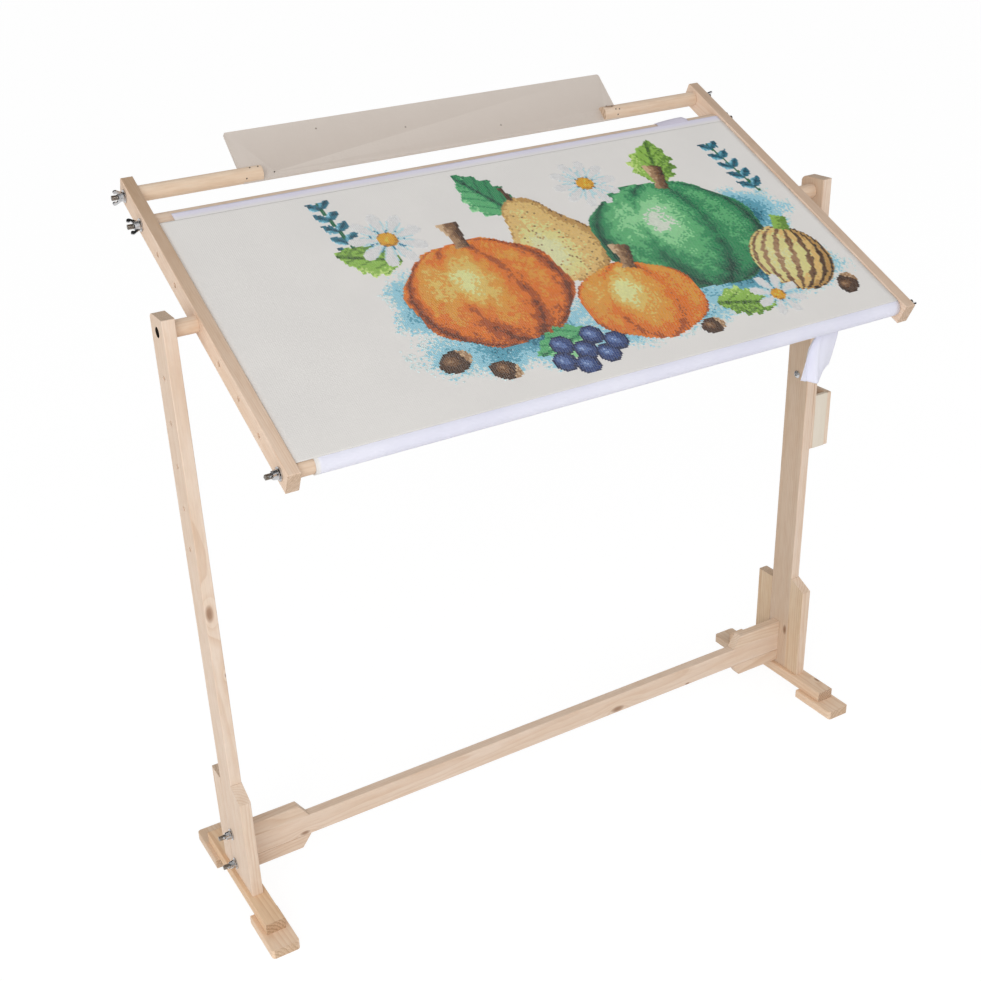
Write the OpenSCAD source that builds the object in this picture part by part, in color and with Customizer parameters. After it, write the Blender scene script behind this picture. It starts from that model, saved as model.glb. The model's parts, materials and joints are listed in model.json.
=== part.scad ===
/* [Stand] */
// Clear width between the two uprights
clear_w = 904; // [700:2:1100]
// Thickness of the boards that the uprights and side arms are cut from
board_t = 15; // [12:0.5:18]
// Depth of an upright from front to back
upright_d = 41; // [38:1:60]
// Height of the uprights' tops above the floor
upright_top = 800; // [790:1:900]
// Height of the tilt axis above the floor
pivot_h = 782; // [740:1:782]
// Spacing of the holes below the tilt axis in each upright
upright_step = 52.7; // [45:0.1:55]
// Number of spare holes below the tilt axis in each upright
spare_holes = 5; // [1:1:5]
// Rounding of an upright's top back corner
top_round = 10; // [4:1:14]
// Depth of the glued wing behind an upright
back_wing_d = 30; // [20:1:50]
// Depth of the glued wing in front of an upright
front_wing_d = 26.5; // [20:0.5:50]
// Height of the wings' shoulders above the floor
wing_top = 176; // [160:1:200]
// Rise of the front wing's sloping top towards the upright
wing_slope = 14; // [6:1:20]
// Rounding of the wooden pieces' long edges
edge_r = 1.2; // [0.5:0.1:2]

/* [Feet] */
// Width of a foot bar
foot_bar_w = 26; // [20:1:40]
// Height of a foot bar
foot_bar_h = 16; // [12:1:24]
// Length of a foot bar
foot_bar_l = 207; // [180:1:300]
// Width of a foot pad
pad_w = 38; // [30:1:50]
// Thickness of a foot pad
pad_h = 13; // [10:1:18]
// Length of a foot pad
pad_l = 73; // [50:1:80]
// How far a pad reaches past the end of its foot bar
pad_reach = 30; // [15:1:35]
// Rounding of the pads' outer corners
pad_r = 5; // [2:1:10]

/* [Stretcher] */
// Thickness of the stretcher and its blocks
stretcher_t = 14; // [12:0.5:18]
// Height of the stretcher bar
stretcher_h = 31; // [25:1:45]
// Height of the stretcher bar's lower edge above the floor
stretcher_z = 53; // [50:1:60]
// How far the stretcher's middle plane lies behind the uprights' middle
stretcher_y = 5; // [0:1:8]
// Height of the blocks glued above the bar's ends
upper_block_h = 20; // [16:1:26]
// Height of the blocks glued below the bar's ends
lower_block_h = 19; // [16:1:20]
// Length of a block's straight outer edge
block_l = 77; // [60:1:110]
// Length that the block's sloping end adds
block_slope = 14; // [8:1:24]
// Length of a stretcher stud inside its block
stretcher_stud_in = 45; // [30:1:55]

/* [Work frame] */
// Tilt of the work frame from the horizontal
tilt = 26.44; // [0:0.01:60]
// Distance between the outer faces of the side arms
frame_w = 846; // [640:2:1050]
// Length of a side arm
arm_l = 482; // [470:1:520]
// Depth of a side arm
arm_d = 27.6; // [24:0.2:40]
// Spacing of the holes in each side arm
hole_step = 53.5; // [45:0.5:55]

/* [Rollers and cloth] */
// Diameter of the rollers, the chart board's dowels and the pivot spacers
dowel_d = 19; // [16:0.5:20]
// Thickness of the cloth wound on the lower roller
wound_t = 0.8; // [0.6:0.1:1.5]
// Bare wood that shows at the left end of the rollers
bare_end = 20; // [10:1:60]
// Thickness of the stretched cloth
cloth_t = 0.8; // [0.6:0.1:1.2]
// Distance of the stretched cloth's lower edge from the tilt axis
cloth_low = 219.6; // [214:0.1:222]
// Distance of the stretched cloth's upper edge from the tilt axis
cloth_high = 156; // [120:1:160]
// Width of the plain tape that joins the cloth to the upper roller
tape_w = 19; // [14:1:24]
// Width of the loose end of cloth that hangs behind the lower roller
tail_w = 41; // [20:1:60]
// Length of the hanging end at its longest
tail_l = 84; // [40:1:120]

/* [Chart board] */
// Angle of the chart board from the horizontal
board_angle = 44.02; // [26:0.01:80]
// Width of the chart board
chart_w = 556; // [300:2:640]
// Thickness of the chart board
chart_t = 3.5; // [3:0.1:4]
// How far the chart board reaches above its dowels' axis
chart_above = 64; // [50:1:64]
// How far the chart board reaches below its dowels' axis
chart_below = 9.5; // [8:0.5:9.5]
// Rounding of the chart board's upper corners
chart_r = 3.5; // [2:0.5:12]
// Length of the half lap that carries the board at each dowel's end
lap_l = 26; // [16:1:40]

/* [Tool box] */
// How far the tool box stands out from the right upright
box_out = 33; // [26:1:60]
// Height of the tool box's lower edge above the floor
box_z = 404.5; // [300:0.5:404.5]
// Height of the tool box's walls
box_h = 82.5; // [60:0.5:85]
// Thickness of the tool box's panels
box_t = 5.5; // [4:0.5:7]
// Thickness of the tool box's outer side panel
box_side_t = 6.5; // [5:0.5:8]
// Thickness of the tool box's back plate
box_plate_t = 4.5; // [3:0.5:6]
// How far the back plate reaches above the tool box's walls
box_plate_up = 48; // [44:1:60]

/* [Hardware] */
// Diameter of the studs and bolts
stud_d = 6; // [5:0.5:6]
// Diameter of the holes that studs and bolts pass through
hole_d = 6.16; // [6.1:0.02:6.2]
// Outer diameter of the washers
washer_d = 15.5; // [14:0.5:20]
// Thickness of the washers
washer_t = 1.6; // [1:0.1:2]
// Span of a wing nut's two wings
nut_span = 21; // [20:1:30]
// Height of a wing nut at its wings' tips
nut_h = 13; // [12:0.5:16]
// How far the arms' studs and the tool box's bolt stand out from the wood
stud_out = 16; // [12:0.5:20]
// How far the stretcher's studs stand out from the uprights
stretcher_stud_out = 18; // [16:0.5:22]
// Depth of the round recess that takes a pivot bolt's head
sink_depth = 6; // [4:0.5:7]
// Width across the flats of the pivot bolts' nuts
lock_nut_af = 10; // [10:0.5:11]

/* [Hidden] */
$fn = 48;

PINE = [0.86, 0.76, 0.63];
PLYWOOD = [0.78, 0.74, 0.70];
AIDA = [0.85, 0.84, 0.82];
WHITE_CLOTH = [0.90, 0.90, 0.95];
ZINC = [0.75, 0.76, 0.78];

// Clearances: a turning face, two bodies that pass each other, and a cut that runs through
turn_gap = 0.05;
body_gap = 0.3;
through = 1;

// Places across the stand, from its middle
upright_in = clear_w / 2;
upright_out = upright_in + board_t;
upright_mid = upright_in + board_t / 2;
foot_top = pad_h + foot_bar_h;
spare_z = [for (i = [1:spare_holes]) pivot_h - i * upright_step];
box_bolt_z = spare_z[spare_holes - 1];

// Places along the side arms, from the tilt axis
arm_out = frame_w / 2;
arm_in = arm_out - board_t;
board_v = 224.5;
upper_v = board_v - hole_step;
lower_v = -board_v;
spare_v = [upper_v - hole_step, upper_v - 2 * hole_step, lower_v + hole_step,
           lower_v + 2 * hole_step, lower_v + 3 * hole_step];
arm_holes = concat([board_v, upper_v, 0, lower_v], spare_v);

// Rollers and cloth
dowel_r = dowel_d / 2;
roller_half = arm_in - body_gap;
wound_r = dowel_r + wound_t;
cloth_w = wound_r + body_gap;
cloth_half = arm_in - 0.5;
cloth_left = -(arm_in - bare_end);
wound_right = arm_in - body_gap;
roller_stud_in = 20;
tape_top_v = upper_v - 2;
tape_t = cloth_t;

// Chart board
lap_end = chart_w / 2 - lap_l;
brad_d = 1.8;
brad_l = 9;
brad_short = 3;
brad_proud = 0.3;

// Hardware
stud_r = stud_d / 2;
hole_r = hole_d / 2;
head_r = 5.5;
head_h = 3.3;
sink_r = head_r + 0.4;
lock_nut_h = 6;
nut_hub_h = 7.5;
stretcher_stud_z = [stretcher_z + stretcher_h + upper_block_h / 2 + 1, stretcher_z - lower_block_h / 2 + 3];
// Turn of each wing nut about its stud
arm_nut_turn = [[0, 20], [72, 100], [140, 55]];
stretcher_nut_turn = [[125, 20], [118, 75]];
box_nut_turn = 30;

// The whole model's middle, so that it stands over its origin
board_back = board_v * cos(tilt) + chart_above * cos(board_angle) + chart_t * sin(board_angle);
frame_front = (arm_l / 2 - edge_r) * cos(tilt) + (arm_d / 2 - edge_r) * sin(tilt) + edge_r;
mid_x = (box_out - stretcher_stud_out) / 2;
mid_y = (board_back - frame_front) / 2;

// Moves a shape from the stand's middle plane and tilt axis to its place over the origin
module on_stand() {
  translate([-mid_x, -mid_y, 0]) children();
}

// Moves a shape drawn along x, up the frame and square to its cloth into the tilted frame
module on_frame() {
  on_stand() translate([0, 0, pivot_h]) rotate([tilt, 0, 0]) children();
}

// Moves a shape drawn along x, up the board and square to it to the chart board's axis
module on_board() {
  on_stand() translate([0, board_v * cos(tilt), pivot_h + board_v * sin(tilt)])
    rotate([board_angle, 0, 0]) children();
}

// Extrudes an outline drawn as y and z along x, centred on x = 0
module along_x(l) {
  translate([-l / 2, 0, 0]) rotate([90, 0, 90]) linear_extrude(l) children();
}

// Extrudes an outline drawn as x and z along y, centred on y = 0
module along_y(l) {
  translate([0, l / 2, 0]) rotate([90, 0, 0]) linear_extrude(l) children();
}

// Rectangle from one corner to the other with its corners rounded by edge_r
module eased(lo, hi, r = edge_r) {
  translate([lo[0] + r, lo[1]]) square([hi[0] - lo[0] - 2 * r, hi[1] - lo[1]]);
  translate([lo[0], lo[1] + r]) square([hi[0] - lo[0], hi[1] - lo[1] - 2 * r]);
  for (a = [lo[0] + r, hi[0] - r], b = [lo[1] + r, hi[1] - r]) translate([a, b]) circle(r);
}

// Round rod along x from x0 to x1
module rod_x(r, x0, x1) {
  translate([x0, 0, 0]) rotate([0, 90, 0]) cylinder(r = r, h = x1 - x0);
}

// Stud across one side's wood, from its inner end to its tip
module stud(side, x_in, x_out) {
  rod_x(stud_r, side > 0 ? x_in : -x_out, side > 0 ? x_out : -x_in);
}

// Washer that lies on the outer face at the distance x from the middle
module washer(side, x, d = washer_d) {
  difference() {
    rod_x(d / 2, side > 0 ? x : -x - washer_t, side > 0 ? x + washer_t : -x);
    rod_x(hole_r, -x - washer_t - through, x + washer_t + through);
  }
}

// Wing nut with its seat on z = 0 and its wings turned by the given angle
module wing_nut(turn) {
  seat_r = 5.6;
  neck_r = 4.8;
  wing_t = 2;
  tip_r = 2.3;
  tip_x = nut_span / 2 - tip_r;
  tip_z = nut_h - tip_r;
  difference() {
    union() {
      rotate_extrude()
        polygon([[0, 0], [seat_r, 0], [seat_r, 1.4], [neck_r, nut_hub_h - 0.8],
                 [neck_r - 0.8, nut_hub_h], [0, nut_hub_h]]);
      for (half = [0, 180]) rotate([0, 0, turn + half]) along_y(wing_t) {
        polygon([[3, 1.2], [5.4, 1.2], [tip_x + tip_r, tip_z - 1.4], [tip_x + tip_r, tip_z],
                 [tip_x, nut_h], [tip_x - tip_r, tip_z], [tip_x - 1.6, tip_z - 2.6], [4.2, 6.6], [3, 6.6]]);
        translate([tip_x, tip_z]) circle(tip_r);
      }
    }
    translate([0, 0, -through]) cylinder(r = stud_r + turn_gap, h = nut_h + 2 * through);
  }
}

// Wing nut on the outer side, with its seat at the distance x from the middle
module side_nut(side, x, turn) {
  translate([side * (x + turn_gap), 0, 0]) rotate([0, side * 90, 0]) wing_nut(turn);
}

// Button head with a hexagon socket, its flat side on z = 0
module button_head() {
  crown = 8.5;
  socket_r = 2.3;
  socket_depth = 2;
  difference() {
    rotate_extrude() intersection() {
      translate([0, head_h - crown]) circle(crown);
      square([head_r, head_h]);
    }
    translate([0, 0, head_h - socket_depth]) cylinder(r = socket_r, h = socket_depth + through, $fn = 6);
  }
}

// Side outline of an upright, drawn with y across and z up
module upright_outline() {
  half = upright_d / 2;
  translate([-half, foot_top]) square([upright_d, upright_top - top_round - foot_top]);
  translate([-half, foot_top]) square([upright_d - top_round, upright_top - foot_top]);
  translate([half - top_round, upright_top - top_round]) circle(top_round);
}

module upright(side) {
  color(PINE) on_stand() translate([side * upright_mid, 0, 0]) difference() {
    intersection() {
      along_x(board_t) upright_outline();
      translate([0, 0, foot_top - through]) linear_extrude(upright_top)
        eased([-board_t / 2, -upright_d / 2], [board_t / 2, upright_d / 2]);
    }
    for (z = concat([pivot_h], spare_z)) translate([0, 0, z]) rod_x(hole_r, -board_t, board_t);
    translate([side * (board_t / 2 - sink_depth), 0, pivot_h]) rotate([0, side * 90, 0])
      cylinder(r = sink_r, h = sink_depth + through);
    for (z = stretcher_stud_z) translate([0, stretcher_y, z]) rod_x(hole_r, -board_t, board_t);
  }
}

// Wing glued to an upright: its side outline is cut from a bar eased on its outer corners
module wing(side, y0, y1) {
  color(PINE) on_stand() translate([side * upright_mid, 0, 0]) intersection() {
    along_x(board_t) children();
    translate([0, 0, foot_top - through]) linear_extrude(upright_top)
      eased([-board_t / 2, y0], [board_t / 2, y1]);
  }
}

module back_wing(side) {
  y0 = upright_d / 2;
  y1 = y0 + back_wing_d;
  wing(side, y0 - board_t, y1) translate([y0, foot_top]) square([back_wing_d, wing_top - foot_top]);
}

module front_wing(side) {
  y1 = -upright_d / 2;
  y0 = y1 - front_wing_d;
  wing(side, y0, y1 + board_t)
    polygon([[y0, foot_top], [y1, foot_top], [y1, wing_top + wing_slope], [y0, wing_top]]);
}

module foot_bar(side) {
  color(PINE) on_stand() translate([side * upright_mid, 0, 0]) along_y(foot_bar_l)
    eased([-foot_bar_w / 2, pad_h], [foot_bar_w / 2, foot_top]);
}

// Foot pad with rounded outer corners; way is -1 at the front and 1 at the back
module foot_pad(side, way) {
  y_out = way * (foot_bar_l / 2 + pad_reach);
  color(PINE) on_stand() translate([side * upright_mid, y_out - way * pad_l / 2, 0]) intersection() {
    linear_extrude(pad_h) {
      eased([-pad_w / 2, -pad_l / 2], [pad_w / 2, pad_l / 2], pad_r);
      translate([-pad_w / 2, -way * pad_l / 2 - pad_l / 2]) eased([0, 0], [pad_w, pad_l], edge_r);
    }
    along_y(pad_l) eased([-pad_w / 2, 0], [pad_w / 2, pad_h]);
  }
}

module stretcher_bar() {
  color(PINE) on_stand() translate([0, stretcher_y, 0]) along_x(clear_w)
    eased([-stretcher_t / 2, stretcher_z], [stretcher_t / 2, stretcher_z + stretcher_h]);
}

// Block glued on the stretcher's end: z0 is the glued edge, z1 the free one
module stretcher_block(side, z0, z1, stud_z) {
  reach = block_l + block_slope;
  low = min(z0, z1);
  high = max(z0, z1);
  color(PINE) on_stand() translate([0, stretcher_y, 0]) difference() {
    intersection() {
      along_y(stretcher_t) translate([side * upright_in, 0])
        polygon([[0, z0], [-side * reach, z0], [-side * block_l, z1], [0, z1]]);
      along_x(clear_w) eased([-stretcher_t / 2, z1 > z0 ? low - upper_block_h : low],
                             [stretcher_t / 2, z1 > z0 ? high : high + lower_block_h]);
    }
    translate([0, 0, stud_z]) stud(side, upright_in - stretcher_stud_in, upright_in + through);
  }
}

module upper_block(side) {
  top = stretcher_z + stretcher_h;
  stretcher_block(side, top, top + upper_block_h, stretcher_stud_z[0]);
}

module lower_block(side) {
  stretcher_block(side, stretcher_z, stretcher_z - lower_block_h, stretcher_stud_z[1]);
}

// Puts a piece of hardware at all four ends of the stretcher
module at_stretcher_ends() {
  for (z = stretcher_stud_z) translate([0, stretcher_y, z]) for (side = [-1, 1]) {
    $side = side;
    children();
  }
}

module stretcher_studs() {
  color(ZINC) on_stand() at_stretcher_ends()
    stud($side, upright_in - stretcher_stud_in, upright_out + stretcher_stud_out);
}

module stretcher_washers() {
  color(ZINC) on_stand() at_stretcher_ends() washer($side, upright_out);
}

module stretcher_nut(side, level) {
  color(ZINC) on_stand() translate([0, stretcher_y, stretcher_stud_z[level]])
    side_nut(side, upright_out + washer_t, stretcher_nut_turn[level][side > 0 ? 1 : 0]);
}

// Tool box: back plate, four walls and a floor around an open pocket
box_x0 = upright_out + box_plate_t;
box_x1 = upright_out + box_out - box_side_t;
box_d = upright_d;

module tool_box_back_plate() {
  color(PINE) on_stand() difference() {
    translate([upright_out + box_plate_t / 2, 0, 0]) along_x(box_plate_t)
      eased([-box_d / 2, box_z], [box_d / 2, box_z + box_h + box_plate_up]);
    translate([0, 0, box_bolt_z]) rod_x(hole_r, upright_out - through, box_x0 + through);
  }
}

module tool_box_front() {
  color(PLYWOOD) on_stand() translate([box_x0, -box_d / 2, box_z]) cube([box_x1 - box_x0, box_t, box_h]);
}

module tool_box_rear() {
  color(PLYWOOD) on_stand() translate([box_x0, box_d / 2 - box_t, box_z])
    cube([box_x1 - box_x0, box_t, box_h]);
}

module tool_box_side() {
  color(PINE) on_stand() translate([box_x1 + box_side_t / 2, 0, 0]) along_x(box_side_t)
    eased([-box_d / 2, box_z], [box_d / 2, box_z + box_h]);
}

module tool_box_floor() {
  color(PLYWOOD) on_stand() translate([box_x0, -box_d / 2 + box_t, box_z])
    cube([box_x1 - box_x0, box_d - 2 * box_t, box_t]);
}

module tool_box_bolt() {
  color(ZINC) on_stand() translate([0, 0, box_bolt_z]) {
    rod_x(stud_r, upright_in, box_x0 + stud_out);
    translate([upright_in, 0, 0]) rotate([0, -90, 0]) button_head();
  }
}

module tool_box_washer() {
  color(ZINC) on_stand() translate([0, 0, box_bolt_z]) washer(1, box_x0);
}

module tool_box_wing_nut() {
  color(ZINC) on_stand() translate([0, 0, box_bolt_z]) side_nut(1, box_x0 + washer_t, box_nut_turn);
}

// Pivot bolts: the head sunk into the upright's outer face, the shank through spacer and arm
pivot_head_x = upright_out - sink_depth;
pivot_washer_d = 12;
pivot_washer_x = arm_in - body_gap - washer_t;
pivot_tip = pivot_washer_x - lock_nut_h - 1.5;

module pivot_bolts() {
  color(ZINC) on_stand() translate([0, 0, pivot_h]) for (side = [-1, 1]) {
    stud(side, pivot_tip, pivot_head_x);
    translate([side * pivot_head_x, 0, 0]) rotate([0, side * 90, 0]) button_head();
  }
}

module pivot_washers() {
  color(ZINC) on_stand() translate([0, 0, pivot_h])
    for (side = [-1, 1]) washer(side, pivot_washer_x, pivot_washer_d);
}

module pivot_lock_nuts() {
  hex_r = lock_nut_af / 2 / cos(30);
  collar_h = 1.6;
  color(ZINC) on_stand() translate([0, 0, pivot_h]) for (side = [-1, 1])
    translate([side * pivot_washer_x, 0, 0]) rotate([0, -side * 90, 0]) difference() {
      union() {
        cylinder(r = hex_r, h = lock_nut_h - collar_h, $fn = 6);
        cylinder(r = lock_nut_af / 2 - 0.4, h = lock_nut_h);
      }
      translate([0, 0, -through]) cylinder(r = stud_r, h = lock_nut_h + 2 * through);
    }
}

module arm(side) {
  color(PINE) on_frame() translate([side * (arm_out - board_t / 2), 0, 0]) difference() {
    intersection() {
      along_y(arm_l) eased([-board_t / 2, -arm_d / 2], [board_t / 2, arm_d / 2]);
      along_x(board_t) eased([-arm_l / 2, -arm_d / 2], [arm_l / 2, arm_d / 2]);
    }
    for (v = arm_holes) translate([0, v, 0]) rod_x(hole_r, -board_t, board_t);
  }
}

module pivot_spacer(side) {
  far = upright_in - body_gap;
  color(PINE) on_frame() difference() {
    rod_x(dowel_r, side > 0 ? arm_out : -far, side > 0 ? far : -arm_out);
    rod_x(hole_r, -upright_out, upright_out);
  }
}

module arm_washers() {
  color(ZINC) on_frame() for (v = [board_v, upper_v, lower_v], side = [-1, 1])
    translate([0, v, 0]) washer(side, arm_out);
}

// Sheet square to the frame's w axis, from its lower left to its upper right corner
module sheet(x0, x1, v0, v1, w, t) {
  translate([x0, v0, w]) cube([x1 - x0, v1 - v0, t]);
}

module embroidery_cloth() {
  color(AIDA) on_frame() sheet(-cloth_half, cloth_half, -cloth_low, cloth_high, cloth_w, cloth_t);
}

module cloth_tape() {
  color(WHITE_CLOTH) on_frame()
    sheet(cloth_left, cloth_half, tape_top_v - tape_w, tape_top_v, cloth_w - tape_t, tape_t);
}

// Loose end of the cloth: a grid of points that falls from the roller in soft folds
tail_left = 287;
tail_gap = 0.5;
tail_cols = 13;
tail_rows = 14;
tail_top_y = lower_v * cos(tilt) + wound_r + body_gap + tail_gap;
tail_top_z = pivot_h + lower_v * sin(tilt) + 4;

// Depth of the hanging end's slanting lower edge, t running from its left to its right side
function tail_drop(t) = tail_l * (0.92 + 0.16 * t - 0.27 * t * t);

// Point of the hanging end's front or back face; s runs down and t across
function tail_point(s, t, y) = [
  tail_left + tail_w * t - 11 * s + 5 * s * t,
  tail_top_y + y + s * (3.5 * sin(430 * t) + 3) + 9 * s * pow(1 - t, 3) * sin(180 * s),
  tail_top_z - tail_drop(t) * s
];

function tail_index(side, row, col) = (side * (tail_rows + 1) + row) * (tail_cols + 1) + col;

module cloth_tail() {
  points = [for (y = [0, cloth_t], i = [0:tail_rows], j = [0:tail_cols])
    tail_point(i / tail_rows, j / tail_cols, y)];
  front = [for (i = [0:tail_rows - 1], j = [0:tail_cols - 1], k = [0, 1])
    k == 0 ? [tail_index(0, i, j), tail_index(0, i, j + 1), tail_index(0, i + 1, j + 1)]
           : [tail_index(0, i, j), tail_index(0, i + 1, j + 1), tail_index(0, i + 1, j)]];
  back = [for (f = front) [for (k = [2, 1, 0]) f[k] + tail_index(1, 0, 0)]];
  rim = concat(
    [for (j = [0:tail_cols]) tail_index(0, 0, tail_cols - j)],
    [for (i = [1:tail_rows]) tail_index(0, i, 0)],
    [for (j = [1:tail_cols]) tail_index(0, tail_rows, j)],
    [for (i = [1:tail_rows - 1]) tail_index(0, tail_rows - i, tail_cols)]);
  edge = [for (n = [0:len(rim) - 1], k = [0, 1])
    let (a = rim[n], b = rim[(n + 1) % len(rim)], shift = tail_index(1, 0, 0))
    k == 0 ? [a, b, b + shift] : [a, b + shift, a + shift]];
  color(WHITE_CLOTH) on_stand() polyhedron(points, concat(front, back, edge));
}

// Roller between the arms with a stud hole in each end
module roller() {
  difference() {
    rod_x(dowel_r, -roller_half, roller_half);
    for (side = [-1, 1]) stud(side, roller_half - roller_stud_in, roller_half + through);
  }
}

module end_studs(x_in) {
  for (side = [-1, 1]) stud(side, x_in, arm_out + stud_out);
}

module upper_roller() {
  color(PINE) on_frame() translate([0, upper_v, 0]) roller();
}

module upper_roller_studs() {
  color(ZINC) on_frame() translate([0, upper_v, 0]) end_studs(roller_half - roller_stud_in);
}

module lower_roller() {
  color(PINE) on_frame() translate([0, lower_v, 0]) roller();
}

module lower_roller_studs() {
  color(ZINC) on_frame() translate([0, lower_v, 0]) end_studs(roller_half - roller_stud_in);
}

module lower_roller_cloth() {
  color(WHITE_CLOTH) on_frame() translate([0, lower_v, 0]) difference() {
    rod_x(wound_r, cloth_left, wound_right);
    rod_x(dowel_r, -arm_out, arm_out);
  }
}

// Brads: the first two figures are x and the height up the board, the third the front face's height
function on_dowel(b) = sqrt(pow(dowel_r, 2) - b * b);
brad_seats = [
  [-274.5, -7.6, on_dowel(7.6)], [-267, 4, on_dowel(4)], [-256.5, 4, on_dowel(4)], [-235, -1.8, 0],
  [260.5, 7.6, on_dowel(7.6)], [266.5, 4.2, on_dowel(4.2)], [269.8, -1.5, on_dowel(1.5)],
  [275.6, -2.2, on_dowel(2.2)], [272.5, -7.6, on_dowel(7.6)]
];

module brads() {
  for (b = brad_seats) let (l = b[2] > 0 ? brad_l : brad_short)
    translate([b[0], b[1], b[2] - l + brad_proud]) cylinder(d = brad_d, h = l);
}

// Dowel that carries one end of the chart board on a flat cut at its end
module board_dowel(side) {
  lap_side = chart_w / 2;
  color(PINE) on_board() difference() {
    rod_x(dowel_r, side > 0 ? lap_end : -roller_half, side > 0 ? roller_half : -lap_end);
    translate([side > 0 ? lap_end - through : -lap_side, -dowel_d, -dowel_d])
      cube([lap_l + through, 2 * dowel_d, dowel_d]);
    stud(side, roller_half - roller_stud_in, roller_half + through);
    brads();
  }
}

module board_dowel_studs() {
  color(ZINC) on_board() end_studs(roller_half - roller_stud_in);
}

module chart_board() {
  half = chart_w / 2;
  color(PLYWOOD) on_board() difference() {
    translate([0, 0, -chart_t]) linear_extrude(chart_t) {
      translate([-half, -chart_below]) square([chart_w, chart_below + chart_above - chart_r]);
      eased([-half, 0], [half, chart_above], chart_r);
    }
    brads();
  }
}

module board_brads() {
  color(ZINC) on_board() brads();
}

// Wing nut of a side arm: row 0 is the chart board, 1 the upper and 2 the lower roller
module arm_nut(side, row) {
  v = [board_v, upper_v, lower_v][row];
  color(ZINC) on_frame() translate([0, v, 0])
    side_nut(side, arm_out + washer_t, arm_nut_turn[row][side > 0 ? 1 : 0]);
}

upright(-1);  // left_upright
upright(1);  // right_upright
back_wing(-1);  // left_back_wing
back_wing(1);  // right_back_wing
front_wing(-1);  // left_front_wing
front_wing(1);  // right_front_wing
foot_bar(-1);  // left_foot_bar
foot_bar(1);  // right_foot_bar
foot_pad(-1, -1);  // left_front_pad
foot_pad(1, -1);  // right_front_pad
foot_pad(-1, 1);  // left_back_pad
foot_pad(1, 1);  // right_back_pad
stretcher_bar();
upper_block(-1);  // left_upper_block
upper_block(1);  // right_upper_block
lower_block(-1);  // left_lower_block
lower_block(1);  // right_lower_block
stretcher_studs();
stretcher_washers();
stretcher_nut(-1, 0);  // left_upper_stretcher_nut
stretcher_nut(-1, 1);  // left_lower_stretcher_nut
stretcher_nut(1, 0);  // right_upper_stretcher_nut
stretcher_nut(1, 1);  // right_lower_stretcher_nut
tool_box_back_plate();
tool_box_front();
tool_box_side();
tool_box_rear();
tool_box_floor();
tool_box_bolt();
tool_box_washer();
tool_box_wing_nut();
pivot_bolts();
pivot_washers();
pivot_lock_nuts();
arm(-1);  // left_arm
arm(1);  // right_arm
pivot_spacer(-1);  // left_pivot_spacer
pivot_spacer(1);  // right_pivot_spacer
arm_washers();
embroidery_cloth();
cloth_tape();
cloth_tail();
upper_roller();
upper_roller_studs();
lower_roller();
lower_roller_studs();
lower_roller_cloth();
board_dowel(-1);  // left_board_dowel
board_dowel(1);  // right_board_dowel
board_dowel_studs();
chart_board();
board_brads();
arm_nut(-1, 0);  // left_board_nut
arm_nut(1, 0);  // right_board_nut
arm_nut(-1, 1);  // left_upper_roller_nut
arm_nut(1, 1);  // right_upper_roller_nut
arm_nut(-1, 2);  // left_lower_roller_nut
arm_nut(1, 2);  // right_lower_roller_nut
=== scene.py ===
"""Looks of the embroidery frame stand: pine stand and frame, stitched cloth, rollers and zinc hardware."""

import json
import math

import bmesh
import bpy
import numpy as np
from mathutils import Matrix, Vector, noise


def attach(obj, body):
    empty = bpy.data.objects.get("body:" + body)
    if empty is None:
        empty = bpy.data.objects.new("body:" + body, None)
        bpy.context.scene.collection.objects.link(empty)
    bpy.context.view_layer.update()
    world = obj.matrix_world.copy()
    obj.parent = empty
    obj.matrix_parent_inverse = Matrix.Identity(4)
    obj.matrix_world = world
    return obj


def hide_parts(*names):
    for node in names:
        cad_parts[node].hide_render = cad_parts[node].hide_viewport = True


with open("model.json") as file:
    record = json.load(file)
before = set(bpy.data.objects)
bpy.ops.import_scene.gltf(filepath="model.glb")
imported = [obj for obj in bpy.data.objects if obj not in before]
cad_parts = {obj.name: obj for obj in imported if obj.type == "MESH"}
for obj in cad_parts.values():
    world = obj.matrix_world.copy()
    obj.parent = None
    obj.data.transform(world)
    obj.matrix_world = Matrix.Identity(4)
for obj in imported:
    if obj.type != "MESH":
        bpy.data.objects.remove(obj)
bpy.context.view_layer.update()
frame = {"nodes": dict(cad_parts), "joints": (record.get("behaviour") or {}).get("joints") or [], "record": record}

MM = 0.001
record = frame["record"]
joint_at = {j["name"]: Vector(j["pos_m"]) for j in frame["joints"]}

# The tilted work frame: x across, v up the frame and w square to its cloth, from the tilt axis
PIVOT = joint_at["frame_tilt"]
DOWN_FRAME = PIVOT - joint_at["lower_roller_turn"]
TILT = math.atan2(DOWN_FRAME.z, DOWN_FRAME.y)
ON_FRAME = Matrix.Translation(PIVOT) @ Matrix.Rotation(TILT, 4, "X")
ON_STAND = Matrix.Identity(4)

# How far the chart board is tipped about its dowels at rest
BOARD_ANGLE = math.radians(44.02)

# Ways that wood faces: square to the frame's cloth, and to the stand's left
UP_FRAME = ON_FRAME.to_3x3() @ Vector((0, 0, 1))
TO_LEFT = Vector((-1, 0, 0))


def new_object(name, data):
    obj = bpy.data.objects.new(name, data)
    bpy.context.scene.collection.objects.link(obj)
    return obj


# Camera
CAMERA_PLACE = Vector((-0.8595, -1.35369, 1.24688))
CAMERA_YAW = math.radians(27.21)
CAMERA_PITCH = math.radians(26.89)
CAMERA_ROLL = math.radians(-3.484)
CAMERA_LENS = 49.346
CAMERA_SENSOR = 36
CAMERA_SHIFT = (0.0693, 0.0182)


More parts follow.
